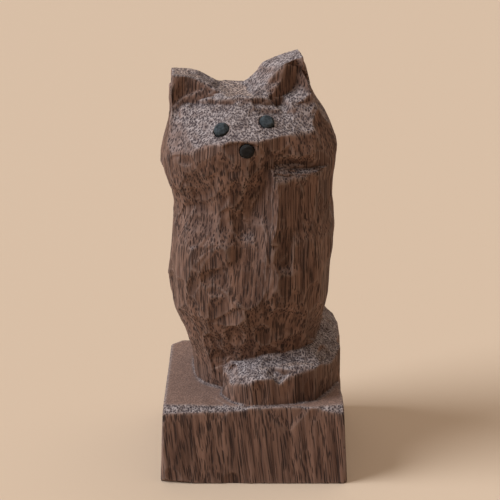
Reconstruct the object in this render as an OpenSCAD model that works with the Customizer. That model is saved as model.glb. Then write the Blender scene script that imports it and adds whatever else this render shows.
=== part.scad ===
// Hand-whittled walnut cat, sitting upright on a square plinth.
// Cat, tail and plinth are one block with the grain upright; the eyes and
// the nose are short pegs pressed into blind holes.
// Millimetres, +Z up, front of the cat towards -Y, origin at the centre of
// the plinth's underside.

/* [Block] */
// height of the finished carving, underside of the plinth to the tip of the taller ear
total_h = 64.4; // [60:0.2:69]
// width and depth of the plinth at its underside
plinth_w = 28.6; // [28.6:0.2:31]
// height of the plinth
plinth_h = 12.4; // [11:0.1:13.4]
// how far each side of the plinth leans in towards its top
plinth_lean = 0.6; // [0.2:0.1:1]
// width of the rough bevel along the plinth's top front edge
plinth_bevel = 0.8; // [0.3:0.1:1.2]

/* [Body] */
// how square the trunk is in plan, 2 is an ellipse and 4 is nearly a box
trunk_square = 2.7; // [2.3:0.1:3.2]
// how square the head is in plan
head_square = 2.9; // [2.5:0.1:3.4]
// how far the tops of the feet and the back widen out, per millimetre of depth
base_taper = 0.012; // [0:0.002:0.02]
// forward step of the chest on the cat's left side, below the shoulder ledge
ledge_depth = 1.9; // [1.4:0.1:2.1]

/* [Knife work] */
// height of one row of knife cuts on the trunk
cut_row = 5.6; // [5:0.1:7]
// spacing of the knife cuts round the trunk, degrees
cut_step = 23; // [20:1:30]
// depth of a typical knife cut below the smooth shape
cut_depth = 0.32; // [0.1:0.02:0.5]
// radius of the hollow a knife stroke leaves along its length
stroke_r = 17; // [13:1:24]
// largest sideways lean of a knife cut, degrees
cut_lean = 7; // [0:1:12]

/* [Head] */
// height of the saddle between the ears
saddle_z = 59.2; // [58.8:0.1:59.8]
// slope of the face from the brow to the nose ridge, degrees from level
face_slope = 40; // [36:1:44]
// thickness of the ears where their tops are cut
ear_t = 4.4; // [3.6:0.1:5]

/* [Tail] */
// height of the tail's outer wall above the plinth
tail_h = 5.2; // [4:0.1:6]
// rise of the tail's top from its outer edge to the inside of the body
tail_rise = 3; // [2:0.1:3.6]

/* [Pegs] */
// diameter of the eye pegs
eye_d = 2.2; // [1.8:0.1:2.4]
// diameter of the nose peg
nose_d = 2.0; // [1.6:0.1:2.2]
// length of each peg inside the wood
peg_depth = 3; // [2:0.1:4]
// height the pegs stand above the wood
peg_proud = 0.45; // [0.3:0.05:0.6]
// gap round each peg in its hole
peg_gap = 0.02; // [0.01:0.01:0.05]

/* [Hidden] */

big = 60;
total_z = 64.4; // height at which the shapes below are drawn
walnut = [0.36, 0.24, 0.18];
peg_blue = [0.16, 0.18, 0.20];
peg_black = [0.08, 0.08, 0.08];

half_w = plinth_w / 2;
top_w = half_w - plinth_lean;

// Trunk and head, from the plinth up. Each table pairs a height with the
// distance of that side from the upright axis.
cat_right_x = [ // the cat's own right, towards -X
    [8, 9.2], [12.4, 9.4], [17, 10.2], [19.6, 10.8], [22.3, 11.6], [24.6, 12.4], [27.1, 13],
    [31.3, 13.4], [36.1, 13.0], [41, 12.5], [42.8, 12.7], [44.4, 13.4], [46.4, 14.1],
    [48.9, 14.1], [50.4, 13.8], [52, 13.3], [53.8, 13], [58, 12.8], [62, 12.6], [66, 12.4]];
cat_left_x = [ // the cat's own left, towards +X
    [8, 10.2], [17, 10.5], [23.3, 11], [27.1, 11.6], [32.1, 11.8], [35.6, 12.4], [38.6, 12.4],
    [42.6, 12.1], [46.5, 12.4], [48.9, 12.7], [50.7, 12.5], [52.4, 11.9], [54.7, 10.8],
    [57, 9.2], [58.4, 8.5], [60.4, 8.0], [62.2, 7.7], [66, 7.2]];
front_y = [
    [8, 6.0], [12.4, 6.6], [16, 7.9], [20, 9.5], [24, 11.0], [28, 12.1], [32, 12.5],
    [36.6, 12.3], [39.6, 11.1], [42, 10.7], [45, 10.9], [48, 11.6], [51, 12.3], [54, 12.8],
    [66, 12.8]];
back_y = [
    [8, 13.6], [12.4, 13.6], [20, 13.6], [27, 13.0], [34, 11.6], [40, 9.8], [44, 8.8],
    [48, 8.6], [52, 8.8], [56, 8.0], [60, 6.4], [66, 4]];
squareness = [
    [8, 3.2], [14, 3.0], [22, trunk_square], [40, trunk_square], [48, head_square],
    [66, head_square]];

first_row = 18.5;
blade_r = 34;
trunk_bottom = 8;
trunk_top = 60.4;
loft_step = 1.9;
loft_n = 56;
loft_rows = ceil((trunk_top - trunk_bottom) / loft_step);

function powered(c, n) = sign(c) * pow(abs(c), 2 / n);
function taper_at(z) = base_taper * max(0, min(1, (26 - z) / 10));

// one point of the smooth trunk: a is the direction seen from above, z the height
function skin(a, z) =
    let (n = lookup(z, squareness))
    let (rx = cos(a) < 0 ? lookup(z, cat_right_x) : lookup(z, cat_left_x))
    let (ry = sin(a) < 0 ? lookup(z, front_y) : lookup(z, back_y))
    let (y = ry * powered(sin(a), n))
    let (x = rx * powered(cos(a), n) * (1 + taper_at(z) * (y - 2)))
    [x, y, z];

// outward direction of the smooth trunk at one point
function skin_out(a, z) =
    let (round_it = skin(a + 3, z) - skin(a - 3, z))
    let (up_it = skin(a, z + 1.5) - skin(a, z - 1.5))
    let (n = cross(round_it, up_it))
    n / norm(n);

module loft() {
    zs = [for (i = [0:loft_rows]) trunk_bottom + (trunk_top - trunk_bottom) * i / loft_rows];
    points = [for (z = zs) for (k = [0:loft_n - 1]) skin(360 * k / loft_n, z)];
    sides = [for (i = [0:loft_rows - 1]) for (k = [0:loft_n - 1])
        let (a = i * loft_n + k)
        let (b = i * loft_n + (k + 1) % loft_n)
        [a, a + loft_n, b + loft_n, b]];
    polyhedron(points, concat(
        sides,
        [[for (k = [0:loft_n - 1]) k]],
        [[for (k = [loft_n - 1:-1:0]) loft_rows * loft_n + k]]));
}

// a prism between two outlines of the same length, the first one on the
// outside; both run anticlockwise as seen from outside
module slab(front, back) {
    n = len(front);
    polyhedron(concat(front, back), concat(
        [[for (k = [n - 1:-1:0]) k]],
        [[for (k = [0:n - 1]) n + k]],
        [for (k = [0:n - 1]) [k, (k + 1) % n, n + (k + 1) % n, n + k]]));
}

// turns a solid that stands on its local XY plane so that its +Z looks along
// a compass bearing (0 is the front, 90 the cat's left) and an elevation
module facing(at, bearing, elevation, roll = 0)
    translate(at)
        rotate([0, 0, bearing])
            rotate([90 - elevation, 0, 0])
                rotate([0, 0, roll])
                    children();

// one flat knife cut: everything beyond the plane goes, within w by h
module cut(at, bearing, elevation, w, h, roll = 0, reach = 8)
    facing(at, bearing, elevation, roll)
        translate([-w / 2, -h / 2, 0])
            cube([w, h, reach]);

// one scooped cut, hollow along its stroke
module scoop(at, bearing, elevation, w, radius, roll = 0)
    facing(at, bearing, elevation, roll)
        translate([-w / 2, 0, radius])
            rotate([0, 90, 0])
                cylinder(r = radius, h = w, $fn = 64);

// how hollow the smooth trunk is along its height, 0 where it bulges
function hollow(a, z) =
    let (d = skin(a, z + 3) - 2 * skin(a, z) + skin(a, z - 3))
    max(0, d * skin_out(a, z) / 9);

// rows of scooped knife cuts laid over the trunk, each close to the smooth
// skin: hollow along the grain, nearly flat across it
module trunk_cuts() {
    rows = floor((51.5 - first_row) / cut_row);
    per_row = floor(360 / cut_step);
    chance = rands(-1, 1, (rows + 1) * per_row * 5, 41);
    for (i = [0:rows]) for (k = [0:per_row - 1]) {
        c = [for (j = [0:4]) chance[(i * per_row + k) * 5 + j]];
        a = 360 * (k + (i % 2) / 2 + 0.2 * c[0]) / per_row;
        z = first_row + cut_row * (i + 0.2 * c[1]);
        n = skin_out(a, z);
        in_face = z > 45 && abs(a - 270) < 62;
        depth = cut_depth * (1 + 0.6 * c[2]);
        bend = 1 / (1 / stroke_r + hollow(a, z));
        if (!in_face)
            translate(skin(a, z) - depth * n)
                rotate([0, acos(n[2]), atan2(n[1], n[0]) + cut_lean * c[3]])
                    rotate([0, 0, 14 * c[4]])
                        translate([0, 0, bend])
                            scale([1, blade_r / bend, 1])
                                sphere(r = bend, $fn = 26);
    }
}

module plinth() {
    slab(
        [[-half_w, -half_w, 0], [half_w, -half_w, 0],
            [top_w - 0.1, -top_w + 0.1, plinth_h], [-top_w, -top_w + 0.1, plinth_h]],
        [[-half_w, half_w, 0], [half_w, half_w, 0],
            [top_w, top_w + 0.2, plinth_h], [-top_w, top_w + 0.2, plinth_h]]);
}

module plinth_cuts() {
    // rough bevel along the front edge, wider at the cat's right
    cut([-8, -top_w + 0.1, plinth_h - plinth_bevel], -3, 52, 14, 6, 2, 3);
    cut([12.6, -top_w + 0.1, plinth_h - plinth_bevel - 0.1], 12, 50, 5, 6, -6, 3);
    // corners taken off the block
    cut([-half_w + 0.35, -half_w + 0.35, 5], -45, -2, 3, 30, 0, 3);
    cut([half_w - 0.3, half_w - 0.3, 5], 135, -2, 4, 30, 0, 3);
    cut([-half_w + 1.3, half_w - 1.2, 8], -135, 6, 6, 30, 0, 4);
    cut([half_w - 0.15, -half_w + 0.15, 5], 45, -2, 3, 30, 0, 3);
    // edges at the back of the top
    cut([-4, top_w + 0.1, plinth_h - 0.4], 180, 46, 22, 5, 1, 3);
    // chip out of the bottom edge
    cut([-12, -half_w + 0.25, 0.5], -8, -38, 5, 3, 0, 3);
}

// the planes of the face: a point on each, its bearing and its elevation;
// the whole head tips down towards the cat's right
face_r = [[-6.6, -11.75, 52.4], -31, 90 - face_slope];
bridge = [[-1.2, -9.4, 55.2], 2, 93 - face_slope];
face_l = [[3.75, -11, 53.35], 14, 93 - face_slope];
muzzle = [[-1.0, -12.15, 51.8], -1, 1];

function outward(p) = [
    cos(p[2]) * sin(p[1]), -cos(p[2]) * cos(p[1]), sin(p[2])];
function on_height(p, x, y) =
    let (n = outward(p))
    [x, y, p[0][2] - (n[0] * (x - p[0][0]) + n[1] * (y - p[0][1])) / n[2]];
function on_depth(p, x, z) =
    let (n = outward(p))
    [x, p[0][1] - (n[0] * (x - p[0][0]) + n[2] * (z - p[0][2])) / n[1], z];

module plane_cut(p, w = 40, h = 30) cut(p[0], p[1], p[2], w, h, 0, 20);

module face_cuts() {
    // top of the head in front of and behind the saddle
    cut([-2.5, 0, saddle_z], 0, 80, 40, 14, 0, 12);
    translate([0, 1.5, saddle_z - 0.3])
        rotate([-24, 0, 0])
            translate([-20, 0, 0])
                cube([40, 14, 12]);
    plane_cut(face_r);
    plane_cut(bridge);
    plane_cut(face_l);
    // muzzle and the cheeks either side of it
    cut(muzzle[0], muzzle[1], muzzle[2], 9, 8, 0, 6);
    cut([-6.8, -11.45, 50.6], -19, 3, 16, 6, 3, 6);
    cut([-11.6, -8.2, 50.6], -46, 30, 24, 16, 6, 8);
    cut([-13.3, -3.4, 52.2], -80, 10, 18, 14, 0, 6);
    cut([8.0, -8.8, 53.0], 40, 28, 24, 14, -8, 8);
    cut([11.5, -4.6, 50.4], 60, 16, 18, 12, 0, 6);
    // under the cheeks; on the cat's left the shoulder ledge ends this cut
    cut([-11.9, -7.4, 45.6], -46, -20, 12, 4.4, 4, 5);
    cut([5.6, -9.5, 51.9], 29, 1, 12, 7.6, 0, 6);
}

// planes over the back of the head and the backs of the ears
module back_cuts() {
    cut([-6, 6.2, 56.4], -166, 34, 26, 12, 0, 8);
    cut([5, 6.1, 56.6], 162, 36, 26, 12, 0, 8);
    cut([0, 8.0, 54.0], 180, 16, 12, 9, 4, 8);
    cut([-10.9, 5.6, 53.4], -134, 20, 16, 14, 0, 8);
    cut([9.6, 5.2, 54], 130, 26, 16, 14, 0, 8);
}

module ear_right() {
    // the lower, flat-topped ear
    y0 = -2.9;
    slab(
        [[-12.6, -5.8, 52], [-3.6, -5.6, 52], [-3.4, -3.8, 58.5], [-8.0, y0, 60.5],
            [-12.1, y0 - 0.1, 61.0]],
        [[-11.4, 5.2, 52], [-3.6, 5.5, 52], [-4.2, 1.2, 59.3], [-8.3, y0 + ear_t, 61.0],
            [-12.4, y0 + ear_t, 61.3]]);
}

module ear_left() {
    // the taller, pointed ear
    y0 = -3.3;
    slab(
        [[0.2, -5.8, 52], [9.8, -5, 52], [8.5, -4.6, 58.5], [7.2, y0, 63.9],
            [3.9, y0 - 0.2, 62.3], [2.3, y0 - 0.6, 60.6], [0.2, y0 - 1.4, 59.0]],
        [[-1.6, 5.5, 52], [9.4, 5.2, 52], [8.6, 2.4, 58.5], [6.3, y0 + ear_t - 0.6, total_z],
            [1.3, y0 + ear_t - 0.2, 62.2], [0, y0 + ear_t, 60.8], [-2.2, y0 + ear_t, 59.3]]);
}
module ear_cuts() {
    // hollows in the fronts of the ears
    facing([-8.2, -4.6, 58.2], -6, 0)
        translate([0, 14, 0.8])
            rotate([90, 0, 0])
                translate([0, 5.4, 0])
                    cylinder(r = 5.6, h = 28, $fn = 40);
    facing([5.2, -4.4, 60.0], 6, 0)
        translate([0, 14, 0.6])
            rotate([90, 0, 0])
                translate([0, 5.4, 0])
                    cylinder(r = 5.6, h = 28, $fn = 40);
    // outsides and backs of the ears
    cut([-12.5, 1.4, 59], -110, 8, 8, 12, 0, 4);
    cut([-9, 3.0, 58.4], -168, 22, 12, 10, 0, 6);
    cut([8.3, 0, 60.6], 100, 9, 7, 12, 0, 4);
    cut([4.6, 2.6, 59.8], 176, 30, 14, 12, 0, 6);
}

// raised chest on the cat's left, ending in a ledge under the cheek
module shoulder() {
    reach = ledge_depth;
    slab(
        [[2.6, -10.5 - reach, 37.6], [8.8, -7.6 - reach, 37.4],
            [9.6, -6.4 - reach, 47.0], [3.1, -10.3 - reach, 48.0]],
        [[0.4, -6, 37], [11.6, -1, 37], [10.2, -1, 52.6], [0.6, -6, 53.2]]);
}

// the trunk's lasting cuts
module body_cuts() {
    // flat front of the belly and the plane on the shaded side of its edge
    cut([-1.6, -12.1, 31], -8, -1, 9, 15, 0, 4);
    cut([6.9, -10.55, 30], 27, -2, 14, 18, 0, 6);
    // haunch on the cat's right, with its crisp inner border
    scoop([-5.6, -11.15, 26.4], -14, -7, 6.6, 18, 24);
    scoop([-9.8, -8.8, 24.4], -44, -16, 7, 24, 8);
    cut([-4.2, -9.75, 20.4], -10, -20, 6, 6, 6, 4);
    // belly turning under above the tail
    cut([4.4, -10.35, 23.4], 14, -20, 13, 8, -5, 6);
    cut([9.6, -7.1, 22.6], 50, -16, 9, 9, -4, 6);
}

// tail lying on the plinth, from the middle of the back round to the front
module tail() {
    // outline on the plinth, the same line inside the body, and the height
    // of the tail's edge along it
    outer = [[-2.4, 12.9], [3.4, 13.8], [9.4, 13.6], [12.6, 11.4], [13.7, 7.6], [13.75, 1.6],
        [13.5, -3.4], [11.8, -7.6], [9.3, -11.1], [5.5, -12.4], [-0.6, -13.1], [-3.2, -11.7],
        [-4.9, -9.0], [-4.6, -5.4]];
    inner = [[-2, 8], [1, 8], [5, 7.5], [7, 5.5], [7.6, 2], [7.6, -1], [7.4, -3], [6.4, -4.6],
        [4.6, -5.6], [1.6, -6.2], [-1, -6.2], [-2.0, -6.2], [-3.0, -6.0], [-3.0, -4.6]];
    edge = [3.2, 3.6, 3.4, 3.2, 3.0, 2.4, 0.9, 0.7, 0.4, 0, -1.0, -1.4, -1.2, -0.8];
    n = len(outer);
    z0 = plinth_h - 1;
    for (i = [0:n - 2]) {
        a = plinth_h + tail_h + edge[i];
        b = plinth_h + tail_h + edge[i + 1];
        slab(
            [[outer[i + 1][0], outer[i + 1][1], z0], [outer[i][0], outer[i][1], z0],
                [outer[i][0], outer[i][1], a], [outer[i + 1][0], outer[i + 1][1], b]],
            [[inner[i + 1][0], inner[i + 1][1], z0], [inner[i][0], inner[i][1], z0],
                [inner[i][0], inner[i][1], a + tail_rise],
                [inner[i + 1][0], inner[i + 1][1], b + tail_rise]]);
    }
}

module tail_cuts() {
    z = plinth_h + tail_h;
    // flats along the top
    cut([1.4, -10.9, z + 0.35], -7, 62, 8, 9, 0, 5);
    cut([8.0, -9.6, z + 1.2], 28, 60, 8, 8, 0, 5);
    cut([12.6, -3.6, z + 1.1], 66, 56, 8, 8, 0, 5);
    cut([13.6, 3.6, z + 0.5], 90, 42, 12, 8, 0, 5);
    cut([12.4, 10.8, z + 0.8], 134, 44, 12, 8, 0, 5);
    cut([6, 13.2, z + 1.6], 178, 48, 16, 8, 0, 5);
    // edges and tip
    cut([5.6, -12.1, z - 0.5], 6, 40, 6, 4, 0, 4);
    cut([-2.0, -11.9, z - 1.5], -34, 36, 5, 5, 0, 4);
    cut([-4.2, -9.3, z - 1.6], -58, 34, 6, 6, 0, 4);
}

module head_and_trunk() {
    difference() {
        loft();
        face_cuts();
        trunk_cuts();
    }
    difference() {
        union() {
            ear_right();
            ear_left();
        }
        ear_cuts();
    }
    shoulder();
}

module carved_form() {
    difference() {
        plinth();
        plinth_cuts();
    }
    difference() {
        head_and_trunk();
        body_cuts();
        back_cuts();
    }
    difference() {
        tail();
        tail_cuts();
    }
}

// where each peg meets the wood, and the way it faces
z_scale = total_h / total_z;
eye_r_at = on_height(face_r, -4.72, -9.95);
eye_l_at = on_height(face_l, 1.88, -8.75);
nose_at = on_depth(muzzle, -1.0, 51.8);

module placed(at, p)
    facing([at[0], at[1], at[2] * z_scale], p[1], p[2])
        children();

module eye_r_place() placed(eye_r_at, face_r) children();
module eye_l_place() placed(eye_l_at, face_l) children();
module nose_place() placed(nose_at, muzzle) children();

module hole(d)
    translate([0, 0, -peg_depth])
        cylinder(d = d + 2 * peg_gap, h = peg_depth + 6, $fn = 64);

// a dowel with the corner of its outer end taken off
module peg(d, edge)
    rotate_extrude($fn = 64)
        polygon([[0, -peg_depth], [d / 2, -peg_depth], [d / 2, peg_proud - edge],
            [d / 2 - 1.1 * edge, peg_proud], [0, peg_proud]]);

module carved_cat()
    color(walnut)
        difference() {
            resize([0, 0, total_h])
                intersection() {
                    carved_form();
                    translate([-big / 2, -big / 2, 0])
                        cube([big, big, total_z]);
                }
            eye_r_place() hole(eye_d);
            eye_l_place() hole(eye_d);
            nose_place() hole(nose_d);
        }

module right_eye_peg() color(peg_blue) eye_r_place() peg(eye_d, 0.25);
module left_eye_peg() color(peg_blue) eye_l_place() peg(eye_d, 0.25);
module nose_peg() color(peg_black) nose_place() peg(nose_d, 0.2);

carved_cat();
left_eye_peg();
right_eye_peg();
nose_peg();
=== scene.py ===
"""Whittled walnut cat on a square plinth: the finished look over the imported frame.

Left and right are the cat's own. Lengths are in mm up to the moment a mesh is written, and
Blender's own are in metres. Bearings are degrees round the cat, 0 at its front and growing to
its left; elevations are degrees above the level, 90 straight up."""

import math

import bpy
import numpy as np
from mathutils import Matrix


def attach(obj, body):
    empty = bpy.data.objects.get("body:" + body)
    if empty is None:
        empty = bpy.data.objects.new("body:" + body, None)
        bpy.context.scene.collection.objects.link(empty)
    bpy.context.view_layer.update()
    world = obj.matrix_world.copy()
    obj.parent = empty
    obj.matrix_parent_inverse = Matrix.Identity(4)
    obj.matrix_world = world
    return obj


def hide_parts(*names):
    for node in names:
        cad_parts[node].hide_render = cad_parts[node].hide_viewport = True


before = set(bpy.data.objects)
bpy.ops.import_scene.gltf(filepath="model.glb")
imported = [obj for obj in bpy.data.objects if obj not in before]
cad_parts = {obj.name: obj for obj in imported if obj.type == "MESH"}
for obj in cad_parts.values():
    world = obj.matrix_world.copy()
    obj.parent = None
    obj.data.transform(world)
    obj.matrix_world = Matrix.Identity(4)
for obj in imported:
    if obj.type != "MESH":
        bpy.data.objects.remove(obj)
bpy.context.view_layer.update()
MM = 0.001

# the carving
PLINTH_TOP = 12.4
PLINTH_FRONT = -14.25  # y that the strokes on the plinth's front are set out from
WOOD_VOXEL = 0.215  # grid of the mesh that the wood is carved in
PEG_VOXEL = 0.07
MOST_TRIANGLES = 195000  # in one piece

# knife strokes
STROKE_RIM = 0.75  # the part of a scooped stroke, from its middle, that is cut in full
FACET_RIM = 0.88  # the same for a flat facet, which ends more sharply
STROKE_REACH = 2.4  # how far over its own plane a stroke still cuts
STROKE_BEND = 0.2  # how much higher a dish is halfway out than in its middle
FACET_BEND = 0.02
LEAST_BEND = 0.12

# relief, and what counts as worn
SOFT_RELIEF = 0.03
GRAIN_RELIEF = 0.028
FOOT = 0.35  # points lower than this are kept from dropping under the floor
RIDGE_FULL = 0.05  # bulge and dip that count as fully worn and fully dark
HOLLOW_FULL = 0.06
TOP_BAND = 0.45  # how far from the plinth's top, and how level, its rubbed surface is
TOP_LEVEL = 0.93

# camera at the photograph's height and angle
CAMERA_PLACE = (-0.00057, -0.2122, 0.1043)
CAMERA_DOWN = 18.6  # degrees
CAMERA_LENS = 104.1
CAMERA_SENSOR = 36

# light: where it comes from, how many degrees wide, how strong, what colour
KEY_LIGHT = ((-0.57, -0.14, 0.47), 34, 3.45, (0.90, 0.99, 1.08))
TOP_LIGHT = ((0.10, 0.12, 0.87), 46, 1.05, (1.0, 0.92, 0.84))
HORIZON_COLOUR = (0.60, 0.44, 0.315, 1)
ROOM_COLOUR = (0.20, 0.156, 0.116, 1)
HORIZON_FADE = (0.02, 0.25)  # heights on the unit sphere where the horizon fades into the room
FLOOR_SIZE = 60
FLOOR_COLOUR = (0.60, 0.45, 0.325, 1)
FLOOR_ROUGHNESS = 0.85

# walnut colours
SIDE_DARK = (0.076, 0.034, 0.022, 1)
SIDE_LIGHT = (0.245, 0.136, 0.098, 1)
SIDE_PATCH = (0.090, 0.043, 0.028, 1)
RING_LINE = (0.055, 0.028, 0.020, 1)
# colours for surfaces that face up: the paleness is partly end grain and partly painted light from
# above
END_GRAIN_TOP_LIT_DARK = (0.19, 0.142, 0.131, 1)
END_GRAIN_TOP_LIT_LIGHT = (0.39, 0.325, 0.315, 1)
END_GRAIN_TOP_LIT_WARM = (0.44, 0.310, 0.245, 1)
RUBBED_DARK = (0.18, 0.103, 0.077, 1)
RUBBED_LIGHT = (0.31, 0.190, 0.146, 1)
RIDGE_WORN = (0.34, 0.26, 0.23, 1)
HOLLOW_DARK = (0.045, 0.026, 0.020, 1)
PORE_SIDE = (0.022, 0.012, 0.010, 1)
PORE_END = (0.030, 0.020, 0.024, 1)

# peg stains: dark, light, rubbed
EYE_STAIN = ((0.014, 0.018, 0.021, 1), (0.050, 0.061, 0.068, 1), (0.085, 0.100, 0.108, 1))
NOSE_STAIN = ((0.006, 0.005, 0.005, 1), (0.017, 0.015, 0.014, 1), (0.034, 0.031, 0.030, 1))
PEG_PRICK = (0.012, 0.012, 0.013, 1)

MIX_A, MIX_B, MIX_COLOUR = 6, 7, 2  # the colour sockets of a Mix node


# ---------------------------------------------------------------- camera, light, floor
def add_camera():
    data = bpy.data.cameras.new("camera")
    data.lens = CAMERA_LENS
    data.sensor_width = CAMERA_SENSOR
    data.clip_start = 0.01
    cam = bpy.data.objects.new("camera", data)
    bpy.context.collection.objects.link(cam)
    cam.location = CAMERA_PLACE
    cam.rotation_euler = (math.radians(90 - CAMERA_DOWN), 0, 0)
    bpy.context.scene.camera = cam


def add_soft_light(name, place, spread, strength, colour):
    """A wide window far away: light from the way of place, over spread degrees."""
    data = bpy.data.lights.new(name, "SUN")
    data.angle = math.radians(spread)
    data.energy = strength
    data.color = colour
    lamp = bpy.data.objects.new(name, data)
    bpy.context.collection.objects.link(lamp)
    lamp.location = place
    lamp.rotation_euler = (-lamp.location).to_track_quat("-Z", "Y").to_euler()


def add_world():
    """Dim warm room, paler towards the horizon where the floor ends."""
    world = bpy.data.worlds.new("studio")
    bpy.context.scene.world = world
    world.use_nodes = True
    tree = world.node_tree
    split = tree.nodes.new("ShaderNodeSeparateXYZ")
    fade = tree.nodes.new("ShaderNodeMapRange")
    fade.inputs["From Min"].default_value, fade.inputs["From Max"].default_value = HORIZON_FADE
    blend = tree.nodes.new("ShaderNodeMix")
    blend.data_type = "RGBA"
    blend.inputs[MIX_A].default_value = HORIZON_COLOUR
    blend.inputs[MIX_B].default_value = ROOM_COLOUR
    place = tree.nodes.new("ShaderNodeTexCoord")
    tree.links.new(place.outputs["Generated"], split.inputs[0])
    tree.links.new(split.outputs["Z"], fade.inputs["Value"])
    tree.links.new(fade.outputs["Result"], blend.inputs["Factor"])
    tree.links.new(blend.outputs[MIX_COLOUR], tree.nodes["Background"].inputs["Color"])


def add_floor():
    bpy.ops.mesh.primitive_plane_add(size=FLOOR_SIZE, location=(0, 0, 0))
    floor = bpy.context.object
    floor.name = "floor"
    mat = bpy.data.materials.new("floor")
    mat.use_nodes = True
    shader = mat.node_tree.nodes["Principled BSDF"]
    shader.inputs["Base Color"].default_value = FLOOR_COLOUR
    shader.inputs["Roughness"].default_value = FLOOR_ROUGHNESS
    floor.data.materials.append(mat)


def add_studio():
    add_soft_light("key", *KEY_LIGHT)
    add_soft_light("top", *TOP_LIGHT)
    add_world()
    add_floor()
    bpy.context.scene.view_settings.view_transform = "Standard"


# ---------------------------------------------------------------- knife work on a mesh
def axes(bearing, elevation, roll=0.0):
    """A stroke's three directions: out of the surface, across it, and along it."""
    b, e, r = (math.radians(v) for v in (bearing, elevation, roll))
    out = np.array([math.cos(e) * math.sin(b), -math.cos(e) * math.cos(b), math.sin(e)])
    side = np.array([math.cos(b), math.sin(b), 0.0])
    up = np.cross(out, side)
    return out, math.cos(r) * side + math.sin(r) * up, math.cos(r) * up - math.sin(r) * side


def ramp(values, low, high):
    """0 at low to 1 at high, and flat beyond them."""
    return np.clip((values - low) / (high - low), 0, 1)


def shave(pts, normals, at, way, wide, tall, bend, deepest,
          reach=STROKE_REACH, sides=STROKE_RIM, ends=STROKE_RIM):
    """One knife stroke: what stands proud of a shallow dish is brought down to it.

    The stroke fades out between sides and 1 times wide to either side of its middle, and between
    ends and 1 times tall along it. The dish is bend higher halfway to those edges. No point moves
    further than deepest, and points that face away or stand over reach above it stay."""
    out, side, up = way
    d = pts - at
    w, u, v = d @ out, d @ side, d @ up
    h = bend * ((2 * u / wide) ** 2 + (2 * v / tall) ** 2)
    rim = np.minimum(ramp(np.abs(u) / wide, 1.0, sides), ramp(np.abs(v) / tall, 1.0, ends))
    fade = rim * ramp(w, reach, reach * 0.65) * ramp(normals @ out, 0.15, 0.45)
    pts -= np.outer(np.clip(w - h, 0, deepest) * fade, out)


def surface_y(pts, x, z, around=0.5):
    """Depth of the front surface at one place, seen straight from the front."""
    near = (np.abs(pts[:, 0] - x) < around) & (np.abs(pts[:, 2] - z) < around)
    return pts[near, 1].min()


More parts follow.
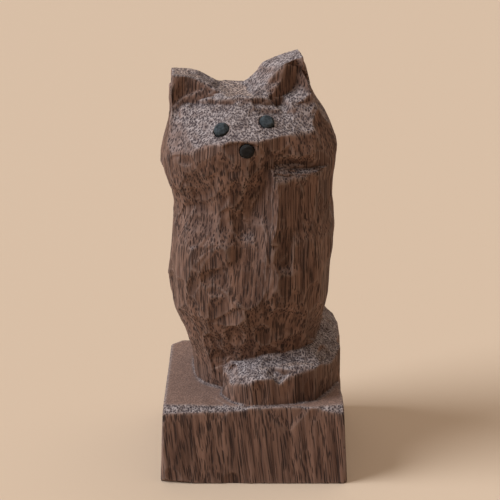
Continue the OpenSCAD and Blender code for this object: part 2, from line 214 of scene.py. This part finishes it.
class Carving:
    """A finely meshed copy of a CAD node whose points are cut and read in mm.

    facing holds the smoothed directions of the uncut surface, which the strokes go by."""

    def __init__(self, node, name, voxel, soften):
        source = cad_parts[node]
        self.obj = bpy.data.objects.new(name, source.data.copy())
        bpy.context.collection.objects.link(self.obj)
        remesh = self.obj.modifiers.new("remesh", "REMESH")
        remesh.mode = "VOXEL"
        remesh.voxel_size = voxel * MM
        smooth = self.obj.modifiers.new("smooth", "SMOOTH")
        smooth.factor = 0.5
        smooth.iterations = soften
        graph = bpy.context.evaluated_depsgraph_get()
        mesh = bpy.data.meshes.new_from_object(self.obj.evaluated_get(graph))
        self.obj.modifiers.clear()
        mesh.materials.clear()
        self.obj.data = mesh
        flat = np.empty(len(mesh.vertices) * 3)
        mesh.vertices.foreach_get("co", flat)
        self.pts = flat.reshape(-1, 3) / MM
        edges = np.empty(len(mesh.edges) * 2, int)
        mesh.edges.foreach_get("vertices", edges)
        self.edges = edges.reshape(-1, 2)
        self.degree = np.bincount(self.edges.ravel(), minlength=len(self.pts))[:, None]
        self.facing = self.spread(self.normals(), 2)

    def write(self):
        """Put the points back into the mesh."""
        self.obj.data.vertices.foreach_set("co", (self.pts * MM).ravel())
        self.obj.data.update()

    def normals(self):
        self.write()
        flat = np.empty(len(self.pts) * 3)
        self.obj.data.vertex_normals.foreach_get("vector", flat)
        return flat.reshape(-1, 3)

    def spread(self, values, times):
        """Values averaged with their neighbours, over and over."""
        a, b = self.edges.T
        ends = np.concatenate([a, b])
        others = np.concatenate([b, a])
        for _ in range(times):
            total = np.stack([np.bincount(ends, column[others], len(values))
                              for column in values.T], axis=1)
            values = (values + total / self.degree) / 2
        return values

    def attribute(self, name, values):
        """Keep one number a point on the mesh, where the material reads it."""
        layer = self.obj.data.attributes.new(name, "FLOAT", "POINT")
        layer.data.foreach_set("value", values.astype(np.float32))

    def under(self, x, z, depth, way):
        """The point at the given depth under the front surface at x and z."""
        return np.array([x, surface_y(self.pts, x, z), z]) - depth * way[0]

    def cut(self, x, z, bearing, elevation, wide, tall, depth, roll=0, deepest=0.8,
            reach=STROKE_REACH):
        """A scooped stroke whose middle is the given depth under the front at x and z."""
        way = axes(bearing, elevation, roll)
        shave(self.pts, self.facing, self.under(x, z, depth, way), way, wide, tall,
              max(depth, LEAST_BEND), deepest, reach)

    def cut_at(self, at, bearing, elevation, wide, tall, roll=0, deepest=0.8):
        """A scooped stroke whose middle is at a point."""
        way = axes(bearing, elevation, roll)
        shave(self.pts, self.facing, np.array(at, float), way, wide, tall, STROKE_BEND, deepest)

    def facet(self, x, z, bearing, elevation, wide, tall, depth, roll=0, deepest=1.2,
              ends=FACET_RIM):
        """A nearly flat stroke with a crisp rim, placed as cut places its own."""
        way = axes(bearing, elevation, roll)
        self.facet_at(self.under(x, z, depth, way), bearing, elevation, wide, tall, roll,
                      deepest, ends)

    def facet_at(self, at, bearing, elevation, wide, tall, roll=0, deepest=1.2, ends=FACET_RIM):
        """A nearly flat stroke with a crisp rim, whose middle is at a point."""
        shave(self.pts, self.facing, np.array(at, float), axes(bearing, elevation, roll),
              wide, tall, FACET_BEND, deepest, sides=FACET_RIM, ends=ends)

    def raise_along(self, route, radius, amount):
        """A narrow raised band along a route of points, highest on the route itself."""
        nearest = np.full(len(self.pts), np.inf)
        for start, end in zip(np.array(route[:-1], float), np.array(route[1:], float)):
            run = end - start
            along = np.clip((self.pts - start) @ run / (run @ run), 0, 1)
            off = self.pts - start - np.outer(along, run)
            nearest = np.minimum(nearest, np.linalg.norm(off, axis=1))
        self.pts += self.facing * (amount * np.clip(1 - nearest / radius, 0, 1))[:, None]

    def swell(self, at, radius, amount):
        """A soft bulge, full in the middle and gone at the radius."""
        far = np.linalg.norm(self.pts - at, axis=1) / radius
        self.pts += self.facing * (amount * np.clip(1 - far * far, 0, 1) ** 2)[:, None]


def smooth_noise(pts, scale, seed, octaves=3, waves=7, level=6, turn=6.28):
    """Soft random relief: plane waves in random directions, brought to about -1 to 1 by level."""
    rng = np.random.default_rng(seed)
    total = np.zeros(len(pts))
    for octave in range(octaves):
        for _ in range(waves):
            wave = rng.normal(size=3) * (2.0**octave) / np.asarray(scale)
            total += np.sin(pts @ wave + rng.uniform(0, turn)) * 0.5**octave
    return total / level


# ---------------------------------------------------------------- the cat
# The strokes' numbers are, in order: the place, bearing, elevation, half width, half height,
# depth where the stroke is placed from the front, and roll, the turn about the way it faces.
def carve_cat(soften=2):
    cat = Carving("carved_cat", "walnut_cat", WOOD_VOXEL, soften)
    head_cuts(cat)
    chest_cuts(cat)
    belly_cuts(cat)
    haunch_cuts(cat)
    tail_cuts(cat)
    plinth_cuts(cat)
    scoop_all_over(cat)
    roughen(cat)
    return cat


def head_cuts(cat):
    # under the right end of the nose ridge, then the cheek, its chipped side and the jaw
    cat.cut_at((-7.5, -11.25, 51.6), -28, 30, 4.6, 1.8, 8)
    cat.cut(-10.0, 49.4, -42, 22, 3.6, 2.6, 0.45, 18, deepest=0.8)
    cat.cut_at((-14.0, -3.0, 46.4), -80, -34, 6.0, 2.2, deepest=0.9)
    cat.cut(-8.6, 46.6, -22, -24, 7.0, 2.2, 0.35, -4, deepest=0.7)
    # left cheek: filled out, planed below the ridge, then hollowed down to the shoulder
    cat.swell((7.2, -8.8, 51.6), 4.2, 1.6)
    cat.cut_at((7.2, -9.35, 52.2), 29, 20, 9.0, 7.0, -8, deepest=2.4)
    cat.cut_at((10.6, -6.7, 52.2), 54, 18, 4.4, 6.0, -10, deepest=1.6)
    cat.cut_at((6.6, -9.65, 50.0), 28, -30, 8.0, 2.2, 4, deepest=2.0)
    # brow, and the eye planes sunk under it with the bridge left standing between them
    cat.raise_along(((-10.4, -4.6, 56.0), (-6.1, -5.2, 57.5), (-2.7, -5.7, 57.9),
                     (0.6, -5.8, 57.9), (3.4, -5.2, 57.8), (7.0, -5.0, 57.2)), 1.4, 0.75)
    cat.facet(-6.6, 55.2, -26, 56, 4.1, 4.2, 0.32, 8)
    cat.cut(-10.0, 53.4, -48, 42, 3.4, 4.6, 0.30, 14, deepest=0.7)
    cat.facet(-1.2, 55.4, -10, 49, 1.7, 3.6, 0.10)
    cat.facet(3.0, 55.6, 20, 58, 2.7, 3.9, 0.40, -6)
    cat.facet(3.0, 57.1, 16, 26, 2.5, 1.3, 0.35, -4)
    cat.facet(6.6, 56.2, 34, 44, 1.5, 2.3, 0.25, -14)
    cat.facet(9.0, 56.4, 10, 60, 1.6, 2.2, 0.20, -20)
    # ears: the right one shallow, the left one scooped deep
    cat.cut(-9.3, 58.8, -4, 2, 4.6, 4.8, 0.45, 0, deepest=0.9)
    cat.cut(-6.2, 58.9, 10, 8, 3.2, 2.8, 0.35, 0, deepest=0.6)
    cat.facet(4.9, 60.0, 30, 2, 3.7, 2.5, 0.80, 37, deepest=1.8)


def chest_cuts(cat):
    # sloping ledge on top of the left shoulder, the upright edge beside it and the shoulder
    cat.facet_at((6.2, -10.12, 48.0), 22, 42, 3.6, 1.9, -8, deepest=1.6)
    cat.cut_at((2.0, -10.95, 44.2), -38, 4, 4.4, 10.0, 5, deepest=1.2)
    cat.cut(4.9, 44.0, 24, -2, 3.4, 6.0, 0.35, 0)
    cat.cut(8.4, 44.4, 40, 0, 3.4, 6.6, 0.35, 2)
    # throat, then the right side of the chest
    cat.cut(-4.2, 49.0, -10, -4, 3.8, 3.8, 0.30, 0)
    cat.cut(-0.2, 48.2, 12, -8, 2.8, 5.0, 0.30, 0)
    cat.cut(-2.3, 44.2, -4, -3, 3.2, 4.2, 0.30, 3)
    cat.cut(-6.4, 44.2, -24, -6, 3.6, 4.4, 0.26, 4)
    cat.cut(-10.8, 43.8, -52, -16, 3.2, 4.6, 0.40, 6)


def belly_cuts(cat):
    # top of the belly: two lit shoulders and a shaded one
    cat.cut(-7.4, 39.6, -38, 12, 5.0, 4.6, 0.26, 10, deepest=0.6)
    cat.cut(-2.8, 39.6, -6, 12, 6.0, 4.6, 0.26, -8, deepest=0.6)
    cat.cut(0.8, 39.2, -22, 14, 3.8, 3.6, 0.18, 10, deepest=0.6)
    cat.cut(6.2, 41.4, 24, 12, 5.0, 3.4, 0.30, -4, deepest=0.6)
    # front of the belly, split by an upright edge
    cat.cut(-4.0, 36.2, -18, -8, 5.6, 5.0, 0.22, 5, deepest=0.5)
    cat.cut(0.2, 35.9, -18, 0, 4.6, 7.0, 0.40, -2, deepest=0.8)
    cat.facet(3.8, 36.4, 38, -4, 2.3, 3.8, 0.45, -6, ends=0.5)
    cat.cut(6.9, 36.0, 26, -8, 3.6, 5.6, 0.35, 3)
    cat.cut(10.0, 35.2, 50, 8, 3.4, 4.6, 0.45, -4, deepest=0.8)
    cat.cut(1.2, 31.4, -30, 0, 2.6, 7.4, 0.25, 2, deepest=0.5)
    cat.cut(4.6, 31.8, 30, -4, 4.4, 5.8, 0.50, 0, deepest=0.8)
    cat.cut(8.8, 30.4, 38, -14, 4.0, 5.0, 0.40, -3, deepest=0.7)
    cat.cut(-1.8, 31.2, 2, -6, 2.8, 6.0, 0.35, 2)
    # right flank
    cat.cut(-7.8, 36.4, -36, 2, 3.0, 3.4, 0.35, 6)
    cat.cut(-11.2, 38.2, -60, 16, 3.0, 3.4, 0.35, 0)
    cat.cut(-11.4, 33.0, -66, -4, 3.2, 5.4, 0.40, 6)
    cat.cut(-5.9, 33.3, -4, -26, 4.8, 3.0, 0.30, -12, deepest=0.6)


def haunch_cuts(cat):
    # the crease over the haunch
    cat.cut(-8.5, 31.0, -58, 4, 1.9, 6.0, 0.45, -24, deepest=0.8)
    cat.cut(-5.4, 30.3, -20, 4, 3.4, 2.8, 0.25, 14)
    # the broad scooped facet with its crisp rim, and the smaller ones under it
    cat.swell((-2.6, -11.6, 26.3), 3.6, 0.8)
    cat.cut_at((-3.3, -11.45, 26.0), -22, -2, 4.4, 4.4, 10, deepest=1.4)
    cat.facet_at((0.9, -11.05, 25.8), 4, -15, 2.1, 3.6, 8, deepest=1.6, ends=0.4)
    cat.cut(-8.4, 26.2, -52, -6, 3.0, 6.0, 0.40, 12, deepest=0.7)
    cat.cut(-2.0, 21.9, -34, -10, 2.5, 3.4, 0.45, 4, deepest=0.8)
    cat.cut(-5.4, 22.2, -34, -28, 4.2, 2.8, 0.45, 8, deepest=0.8)
    cat.cut(-5.8, 18.2, -34, -6, 3.4, 5.0, 0.35, 3)
    cat.cut(-8.3, 19.4, -66, -14, 2.4, 7.6, 0.35, 4)
    cat.cut(-2.2, 18.4, -18, -10, 2.6, 3.2, 0.35, 0)
    # underside of the belly over the tail
    cat.cut(4.4, 26.2, 16, -34, 9.0, 5.0, 0.70, -6, deepest=1.3)
    cat.cut(1.0, 23.6, 14, -24, 3.6, 3.8, 0.45, -8, deepest=0.8)
    cat.cut(6.4, 21.8, 26, -24, 5.0, 3.6, 0.45, -10, deepest=0.8)
    cat.cut(9.6, 25.8, 54, -18, 3.6, 5.4, 0.45, -8, deepest=0.8)


def tail_cuts(cat):
    # the sloping top from the tip round to the side, then its outer edge and the tip's end
    cat.cut_at((-3.4, -9.6, 17.3), -30, 58, 3.4, 3.0, -12, deepest=1.2)
    cat.cut_at((0.6, -12.2, 17.0), -12, 58, 5.2, 1.9, -8, deepest=0.6)
    cat.cut_at((5.6, -10.6, 18.3), 2, 70, 4.4, 2.8, 8, deepest=0.6)
    cat.cut_at((8.8, -9.6, 18.4), 34, 60, 3.4, 3.0, 0, deepest=0.6)
    cat.cut_at((11.2, -4.0, 19.3), 66, 58, 5.0, 3.0, 0, deepest=0.6)
    cat.cut_at((5.2, -12.2, 17.0), 4, 20, 6.0, 1.5, -3, deepest=0.8)
    cat.facet_at((2.6, -11.5, 17.2), 40, 44, 1.0, 2.2, 30, deepest=0.8)
    cat.cut_at((11.0, -5.6, 18.7), 58, 34, 4.6, 3.0, 0, deepest=0.9)
    cat.cut_at((-3.9, -10.0, 16.3), -56, 34, 3.6, 5.0, 0, deepest=0.9)
    # the upright outside of the tail
    for x, bearing, wide in ((-1.4, -8, 2.6), (1.6, -2, 3.0), (4.9, 8, 3.2), (8.0, 26, 3.2),
                             (10.6, 46, 3.2)):
        cat.cut(x, 14.9, bearing, -2, wide, 4.0, 0.20, 2, deepest=0.5, reach=0.8)


def plinth_cuts(cat):
    """Knife bevels along the plinth's front top edge and two shallow strokes low on its front."""
    cat.cut_at((-8.6, PLINTH_FRONT + 0.4, 12.15), -3, 48, 9.6, 1.6, 1, deepest=0.9)
    cat.cut_at((-4.4, PLINTH_FRONT + 0.3, 12.1), 6, 52, 3.4, 1.4, -4, deepest=0.8)
    cat.cut_at((8.4, PLINTH_FRONT + 0.2, 12.2), -4, 50, 2.6, 1.2, 0, deepest=0.8)
    cat.cut_at((12.0, PLINTH_FRONT + 0.55, 11.9), 5, 44, 3.8, 1.8, -3, deepest=1.1)
    cat.cut_at((-12.2, PLINTH_FRONT + 0.15, 2.2), -8, -8, 2.6, 4.2, 12, deepest=0.5)
    cat.cut_at((-3.6, PLINTH_FRONT + 0.12, 1.6), 3, -8, 3.6, 3.4, -8, deepest=0.4)


def scoop_all_over(cat, seed=23, tries=9000, clear=0.8, steep=0.5, side_gap=3.4, top_gap=2.6):
    """Small strokes all over the cat and its tail, clear of the plinth and of each other."""
    rng = np.random.default_rng(seed)
    normals = cat.normals()
    pts = cat.pts
    chosen = []
    for i in rng.permutation(len(pts))[:tries]:
        p = pts[i]
        if p[2] < PLINTH_TOP + clear:
            continue
        gap = side_gap if normals[i, 2] < steep else top_gap
        if all(np.sum((p - pts[j]) ** 2) > gap * gap for j in chosen):
            chosen.append(i)
    for i in chosen:
        n = normals[i]
        bearing = math.degrees(math.atan2(n[0], -n[1])) + rng.normal() * 4
        elevation = math.degrees(math.asin(np.clip(n[2], -1, 1))) + rng.normal() * 3
        depth = rng.uniform(0.03, 0.10)
        wide = rng.uniform(2.6, 5.0)
        tall = rng.uniform(3.4, 7.5)
        if abs(n[2]) > steep:
            tall *= 0.6
        way = axes(bearing, elevation, rng.normal() * 14)
        shave(pts, cat.facing, pts[i] - depth * way[0], way, wide, tall, depth, deepest=0.25)


def roughen(cat):
    """A soft unevenness and fine grain relief, weaker on end grain; the base stays on the floor."""
    pts = cat.pts
    normals = cat.normals()
    soft = smooth_noise(pts, (2.6, 2.6, 5.0), seed=3) * SOFT_RELIEF
    grain = smooth_noise(pts, (0.34, 0.34, 6.0), seed=5, octaves=2) * GRAIN_RELIEF
    pts += normals * (soft + grain * (1 - 0.6 * np.abs(normals[:, 2])))[:, None]
    low = pts[:, 2] < FOOT
    pts[low, 2] = np.maximum(pts[low, 2], 0.0)


def wear_hollow_and_top_light_maps(cat):
    """Ridges, hollows, how far the surface faces up (end grain, and painted light from above), and
    the plinth's rubbed top.
    """
    normals = cat.normals()
    away = cat.pts - cat.spread(cat.pts, 6)
    bulge = np.sum(away * normals, axis=1)
    cat.attribute("ridge", np.clip(bulge / RIDGE_FULL, 0, 1))
    cat.attribute("hollow", np.clip(-bulge / HOLLOW_FULL, 0, 1))
    # how far the surface faces up: read for the pores, and to paint up-facing surfaces paler,
    # partly as end grain and partly as painted light from above
    calm = cat.spread(normals, 4)
    cat.attribute("end_grain_and_top_light", calm[:, 2])
    top = np.abs(cat.pts[:, 2] - PLINTH_TOP) < TOP_BAND
    rubbed = (top & (normals[:, 2] > TOP_LEVEL)).astype(float)
    cat.attribute("rubbed", cat.spread(rubbed[:, None], 3)[:, 0])


def slim(piece):
    """Fewer triangles where the surface is calm, edges left crisp."""
    mesh = piece.obj.data
    mesh.calc_loop_triangles()
    count = len(mesh.loop_triangles)
    if count <= MOST_TRIANGLES:
        return
    thin = piece.obj.modifiers.new("thin", "DECIMATE")
    thin.ratio = MOST_TRIANGLES / count
    graph = bpy.context.evaluated_depsgraph_get()
    slimmer = bpy.data.meshes.new_from_object(piece.obj.evaluated_get(graph))
    piece.obj.modifiers.clear()
    piece.obj.data = slimmer


# ---------------------------------------------------------------- materials
class Nodes:
    """Short hand for building a material's node tree."""

    def __init__(self, name):
        self.mat = bpy.data.materials.new(name)
        self.mat.use_nodes = True
        self.tree = self.mat.node_tree
        self.shader = self.tree.nodes["Principled BSDF"]

    def node(self, kind, **settings):
        n = self.tree.nodes.new(kind)
        for key, value in settings.items():
            setattr(n, key, value)
        return n

    def link(self, value, socket):
        """Feed a socket from another one, or set it to a constant."""
        if isinstance(value, bpy.types.NodeSocket):
            self.tree.links.new(value, socket)
        else:
            socket.default_value = value

    def math(self, operation, a, b=0.0, c=0.0):
        n = self.node("ShaderNodeMath", operation=operation)
        for value, socket in zip((a, b, c), n.inputs):
            self.link(value, socket)
        return n.outputs[0]

    def vector(self, operation, a, b=(0, 0, 0)):
        n = self.node("ShaderNodeVectorMath", operation=operation)
        self.link(a, n.inputs[0])
        self.link(b, n.inputs[1])
        return n.outputs[0]

    def step(self, value, low, high, out_low=0.0, out_high=1.0):
        """A smooth rise from out_low where value is low to out_high where it is high."""
        n = self.node("ShaderNodeMapRange", interpolation_type="SMOOTHSTEP")
        for v, key in zip((value, low, high, out_low, out_high),
                          ("Value", "From Min", "From Max", "To Min", "To Max")):
            self.link(v, n.inputs[key])
        return n.outputs[0]

    def mix(self, factor, a, b):
        n = self.node("ShaderNodeMix", data_type="RGBA")
        self.link(factor, n.inputs["Factor"])
        self.link(a, n.inputs[MIX_A])
        self.link(b, n.inputs[MIX_B])
        return n.outputs[MIX_COLOUR]

    def noise(self, vector, scale, detail=3.0, rough=0.55):
        n = self.node("ShaderNodeTexNoise")
        self.link(vector, n.inputs["Vector"])
        n.inputs["Scale"].default_value = scale
        n.inputs["Detail"].default_value = detail
        n.inputs["Roughness"].default_value = rough
        return n

    def join(self, x, y, z=0.0):
        n = self.node("ShaderNodeCombineXYZ")
        for value, socket in zip((x, y, z), n.inputs):
            self.link(value, socket)
        return n.outputs[0]

    def split(self, vector):
        n = self.node("ShaderNodeSeparateXYZ")
        self.link(vector, n.inputs[0])
        return n.outputs

    def place(self):
        """Object coordinates in mm."""
        metres = self.node("ShaderNodeTexCoord").outputs["Object"]
        return self.vector("MULTIPLY", metres, (1000, 1000, 1000))

    def stored(self, name):
        return self.node("ShaderNodeAttribute", attribute_name=name).outputs["Fac"]

    def bump(self, height, strength, distance):
        n = self.node("ShaderNodeBump")
        n.inputs["Strength"].default_value = strength
        n.inputs["Distance"].default_value = distance
        self.link(height, n.inputs["Height"])
        return n.outputs["Normal"]


def grain_space(k):
    """The place in mm, bent so that pore lines wander a little and lean in the plinth."""
    x, y, z = k.split(k.place())
    below = k.math("MAXIMUM", k.math("SUBTRACT", PLINTH_TOP + 4, z), 0.0)
    x = k.math("SUBTRACT", x, k.math("MULTIPLY", below, 0.10))
    wander = k.noise(k.join(x, y, k.math("MULTIPLY", z, 0.35)), 0.16, 2.0)
    sway = k.vector("MULTIPLY", k.vector("SUBTRACT", wander.outputs["Color"], (0.5, 0.5, 0.5)),
                    (1.6, 1.6, 0.0))
    return k.vector("ADD", k.join(x, y, z), sway)


def pore_field(k, wood, size, radius, length, fill, seed, always=0.0):
    """Open pores: round dots where the surface cuts across the grain, broken lines along it.

    Pores of the given radius stand size apart and break up over length. More of them are open
    where fill is higher, and always is how surely one is open on end grain."""
    x, y, z = k.split(wood)
    cell = k.node("ShaderNodeTexVoronoi", feature="F1", voronoi_dimensions="2D")
    k.link(k.join(k.math("ADD", x, seed * 7.3), y), cell.inputs["Vector"])
    cell.inputs["Scale"].default_value = 1 / size
    pick = k.node("ShaderNodeSeparateColor")
    k.link(cell.outputs["Color"], pick.inputs[0])
    start, girth, darkness = pick.outputs
    up = k.stored("end_grain_and_top_light")

    along = k.node("ShaderNodeTexNoise", noise_dimensions="1D")
    k.link(k.math("MULTIPLY_ADD", z, 1 / length, k.math("MULTIPLY", start, 97.0)),
           along.inputs["W"])
    along.inputs["Scale"].default_value = 1.0
    along.inputs["Detail"].default_value = 1.0
    there = k.step(along.outputs["Fac"], k.math("SUBTRACT", 0.62, fill),
                   k.math("SUBTRACT", 0.70, fill))
    there = k.math("MAXIMUM", there, k.step(up, 0.35, 0.75, 0.0, always))
    there = k.math("MULTIPLY", there, k.step(darkness, 0.0, 0.7, 0.68, 1.0))

    wide = k.math("MULTIPLY", k.step(girth, 0.0, 1.0, 0.75, 1.15),
                  k.math("MULTIPLY", k.step(up, 0.3, 0.8, 1.0, 1.38), radius / size))
    dot = k.step(cell.outputs["Distance"], k.math("MULTIPLY", wide, 0.65),
                 k.math("MULTIPLY", wide, 1.25), 1.0, 0.0)
    return k.math("MULTIPLY", there, dot)


def walnut():
    """Bare walnut: streaked brown along the grain, dotted on end grain, and paler where it faces
    up, partly end grain and partly painted light from above.
    """
    k = Nodes("walnut")
    wood = grain_space(k)

    # growth rings: bands across the block that run up the sides as streaks
    ring_at = k.noise(k.vector("MULTIPLY", wood, (0.55, 1.0, 0.02)), 0.30, 3.0)
    bands = k.math("PINGPONG", k.math("MULTIPLY", ring_at.outputs["Fac"], 13.0), 1.0)

    # fine pores and finer hair lines everywhere, coarser pores gathered along the rings
    fine_pore = pore_field(k, wood, size=0.36, radius=0.101, length=7.0,
                           fill=k.step(bands, 0, 1, 0.18, 0.30), seed=1, always=0.9)
    hair_pore = pore_field(k, wood, size=0.28, radius=0.080, length=6.0,
                           fill=k.step(bands, 0, 1, 0.16, 0.28), seed=3)
    coarse_pore = pore_field(k, wood, size=0.80, radius=0.120, length=14.0,
                             fill=k.step(bands, 0.3, 1, -0.02, 0.15), seed=2)
    pore = k.math("MAXIMUM", k.math("MAXIMUM", fine_pore, coarse_pore),
                  k.math("MULTIPLY", hair_pore, 0.88))

    # body colour along the grain: streaks, darker patches and the rings' dark lines
    streak = k.noise(k.vector("MULTIPLY", wood, (1, 1, 1 / 30)), 1.25, 4.0, 0.65)
    patch = k.noise(k.vector("MULTIPLY", wood, (1, 1, 1 / 12)), 0.33, 2.0)
    side = k.mix(k.step(streak.outputs["Fac"], 0.30, 0.72), SIDE_DARK, SIDE_LIGHT)
    side = k.mix(k.math("MULTIPLY", k.step(patch.outputs["Fac"], 0.35, 0.70), 0.45), side,
                 SIDE_PATCH)
    side = k.mix(k.math("MULTIPLY", k.step(bands, 0.80, 1.0), 0.35), side, RING_LINE)

    # end grain where the surface faces up, paler partly for the end grain and partly as painted
    # light from above; warmer where it is level, and the rubbed plinth top
    up = k.stored("end_grain_and_top_light")
    speck = k.noise(wood, 0.9, 3.0, 0.6)
    end = k.mix(k.step(speck.outputs["Fac"], 0.32, 0.68), END_GRAIN_TOP_LIT_DARK, END_GRAIN_TOP_LIT_LIGHT)
    end = k.mix(k.step(up, 0.90, 0.99, 0.0, 0.6), end, END_GRAIN_TOP_LIT_WARM)
    # painted light: only up-facing surfaces turn pale, and down-facing end grain keeps the side
    # colour
    body = k.mix(k.step(up, 0.30, 0.82), side, end)
    rubbed = k.stored("rubbed")
    body = k.mix(rubbed, body, k.mix(speck.outputs["Fac"], RUBBED_DARK, RUBBED_LIGHT))
    pore = k.math("MULTIPLY", pore, k.step(rubbed, 0.0, 1.0, 1.0, 0.45))

    # worn ridges, dark hollows
    body = k.mix(k.math("MULTIPLY", k.stored("ridge"), 0.32), body, RIDGE_WORN)
    body = k.mix(k.math("MULTIPLY", k.stored("hollow"), 0.40), body, HOLLOW_DARK)

    dark = k.mix(k.step(up, 0.2, 0.7), PORE_SIDE, PORE_END)
    colour = k.mix(k.math("MULTIPLY", pore, 0.93), body, dark)
    k.link(colour, k.shader.inputs["Base Color"])
    k.shader.inputs["Specular IOR Level"].default_value = 0.30
    k.link(k.step(pore, 0.0, 1.0, 0.66, 0.92), k.shader.inputs["Roughness"])

    # the pores are sunk and the wood between them is faintly fuzzy
    fuzz = k.noise(k.vector("MULTIPLY", wood, (1, 1, 0.25)), 5.5, 3.0, 0.7)
    height = k.math("SUBTRACT", k.math("MULTIPLY", fuzz.outputs["Fac"], 0.45), pore)
    k.link(k.bump(height, 0.55, 0.10 * MM), k.shader.inputs["Normal"])
    return k.mat


def stained_peg(name, low, high, rubbed):
    """Dark stained dowel end: faint bloom, fine pin pricks and rubbed ridges."""
    k = Nodes(name)
    place = k.place()
    bloom = k.noise(place, 1.6, 4.0, 0.65)
    grit = k.noise(place, 9.0, 3.0, 0.7)
    colour = k.mix(k.step(bloom.outputs["Fac"], 0.35, 0.68), low, high)
    colour = k.mix(k.step(grit.outputs["Fac"], 0.56, 0.68, 0.0, 0.55), colour, PEG_PRICK)
    colour = k.mix(k.math("MULTIPLY", k.stored("ridge"), 0.5), colour, rubbed)
    k.link(colour, k.shader.inputs["Base Color"])
    k.link(k.step(grit.outputs["Fac"], 0.3, 0.7, 0.70, 0.95), k.shader.inputs["Roughness"])
    k.shader.inputs["Specular IOR Level"].default_value = 0.22
    k.link(k.bump(grit.outputs["Fac"], 0.35, 0.06 * MM), k.shader.inputs["Normal"])
    return k.mat


# ---------------------------------------------------------------- pegs
def make_peg(node, name, material, sides, seed):
    """A dowel end whittled to a low, facetted dome."""
    peg = Carving(node, name, PEG_VOXEL, soften=3)
    rng = np.random.default_rng(seed)
    out = peg_axis(peg)
    side = np.cross(out, (0.0, 0.0, 1.0))
    side /= np.linalg.norm(side)
    up = np.cross(side, out)
    across = peg.pts - peg.pts.mean(0)
    middle = peg.pts.mean(0) + out * (across @ out).max()
    radius = np.hypot(across @ side, across @ up).max()
    for i in range(sides):
        turn = 2 * math.pi * (i + rng.uniform(-0.25, 0.25)) / sides
        lean = math.radians(rng.uniform(18, 50))
        rim = math.cos(turn) * side + math.sin(turn) * up
        face = math.cos(lean) * out + math.sin(lean) * rim
        at = middle + rim * radius * rng.uniform(0.50, 0.72)
        proud = (peg.pts - at) @ face
        outer_end = (peg.pts - middle) @ out > -0.5
        peg.pts -= np.outer(np.clip(proud, 0, None) * outer_end, face)
    peg.pts += peg.normals() * (smooth_noise(peg.pts, (0.5, 0.5, 0.5), seed) * 0.025)[:, None]
    finish_piece(peg, material, node)


def peg_axis(peg):
    """The way a peg points: the long axis of its points, turned outwards."""
    centred = peg.pts - peg.pts.mean(0)
    axis = np.linalg.svd(centred, full_matrices=False)[2][0]
    return axis if axis[1] < 0 else -axis


def finish_piece(piece, material, node):
    """Wear, hollow and painted top-light maps, triangle budget, material, and the piece's place in
    the frame.
    """
    piece.write()
    wear_hollow_and_top_light_maps(piece)
    slim(piece)
    piece.obj.data.materials.append(material)
    piece.obj.data.shade_smooth()
    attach(piece.obj, "root")
    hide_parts(node)


add_camera()
add_studio()
cat = carve_cat()
finish_piece(cat, walnut(), "carved_cat")
eye_stain = stained_peg("eye_stain", *EYE_STAIN)
nose_stain = stained_peg("nose_stain", *NOSE_STAIN)
make_peg("left_eye_peg", "left_eye", eye_stain, sides=6, seed=4)
make_peg("right_eye_peg", "right_eye", eye_stain, sides=5, seed=9)
make_peg("nose_peg", "nose", nose_stain, sides=5, seed=2)
